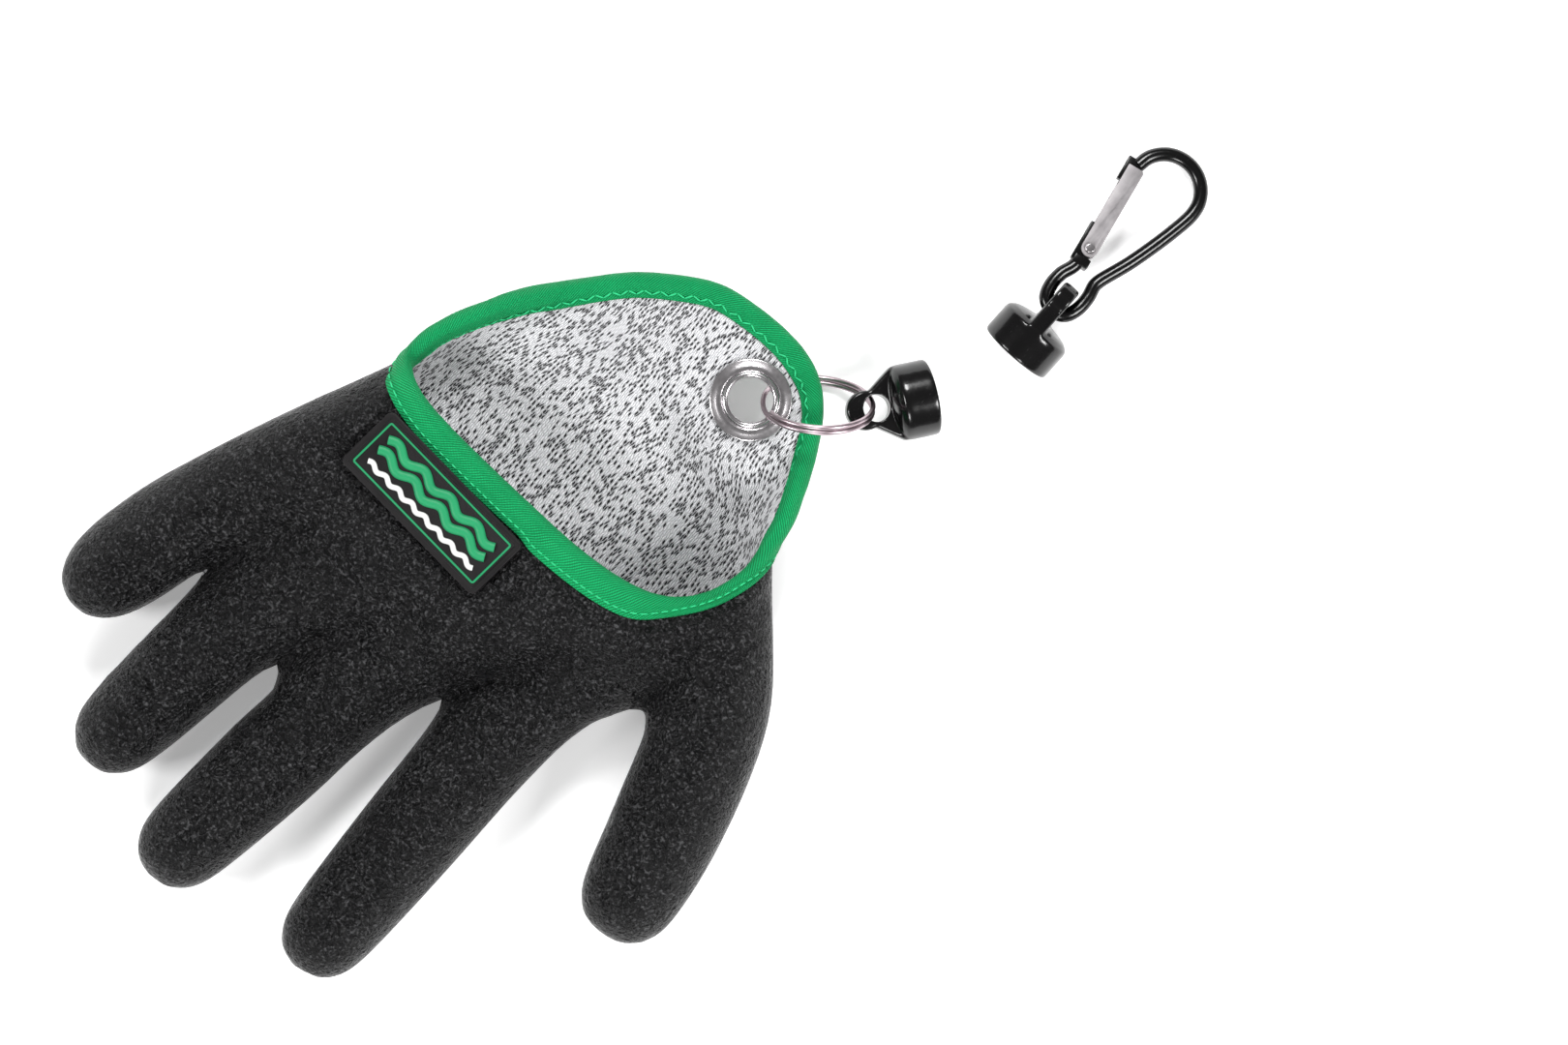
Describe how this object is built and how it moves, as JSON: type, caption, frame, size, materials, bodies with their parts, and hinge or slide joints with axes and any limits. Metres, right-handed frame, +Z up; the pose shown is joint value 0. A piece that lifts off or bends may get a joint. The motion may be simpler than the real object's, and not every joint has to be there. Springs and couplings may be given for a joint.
{
  "type": "fishing glove",
  "caption": "Coated knit landing glove lying palm side up, with a cut-away cuff, an eyelet flap, a split ring, a magnetic release and a small carabiner.",
  "frame": {"origin": "on the ground, in the middle of the whole object seen from above", "axes": "+Z up, away from the ground the glove lies on; the fingers point towards -Y, the flap, ring, clips and carabiner lie towards +Y, the thumb is at +X"},
  "size_m": [0.1896, 0.3318, 0.0362],
  "materials": {
    "latex": "crinkled matt",
    "knit": "melange knit",
    "woven_tape": "woven twill",
    "soft_patch": "moulded satin",
    "polished_steel": "polished",
    "nickel_wire": "polished nickel",
    "gloss_black": "gloss",
    "black_enamel": "gloss",
    "bare_aluminium": "satin"
  },
  "bodies": {
    "glove": {"latex_coat": "latex", "knit_liner": "knit", "rim_binding": "woven_tape", "label_patch": "soft_patch", "eyelet_flange": "polished_steel", "eyelet_washer": "polished_steel", "split_ring": "nickel_wire", "clip_near": "gloss_black", "clip_far": "gloss_black", "carabiner_frame": "black_enamel"},
    "gate": {"carabiner_gate": "bare_aluminium", "gate_rivet": "polished_steel"}
  },
  "joints": [
    {"name": "gate_hinge", "type": "hinge", "parent": "glove", "child": "gate", "pos_m": [0.05774, 0.12824, 0.00827], "axis": [0, -0.1739, -0.9848], "range_deg": [0, 25], "stiffness_Nm_per_rad": 0.05}
  ]
}
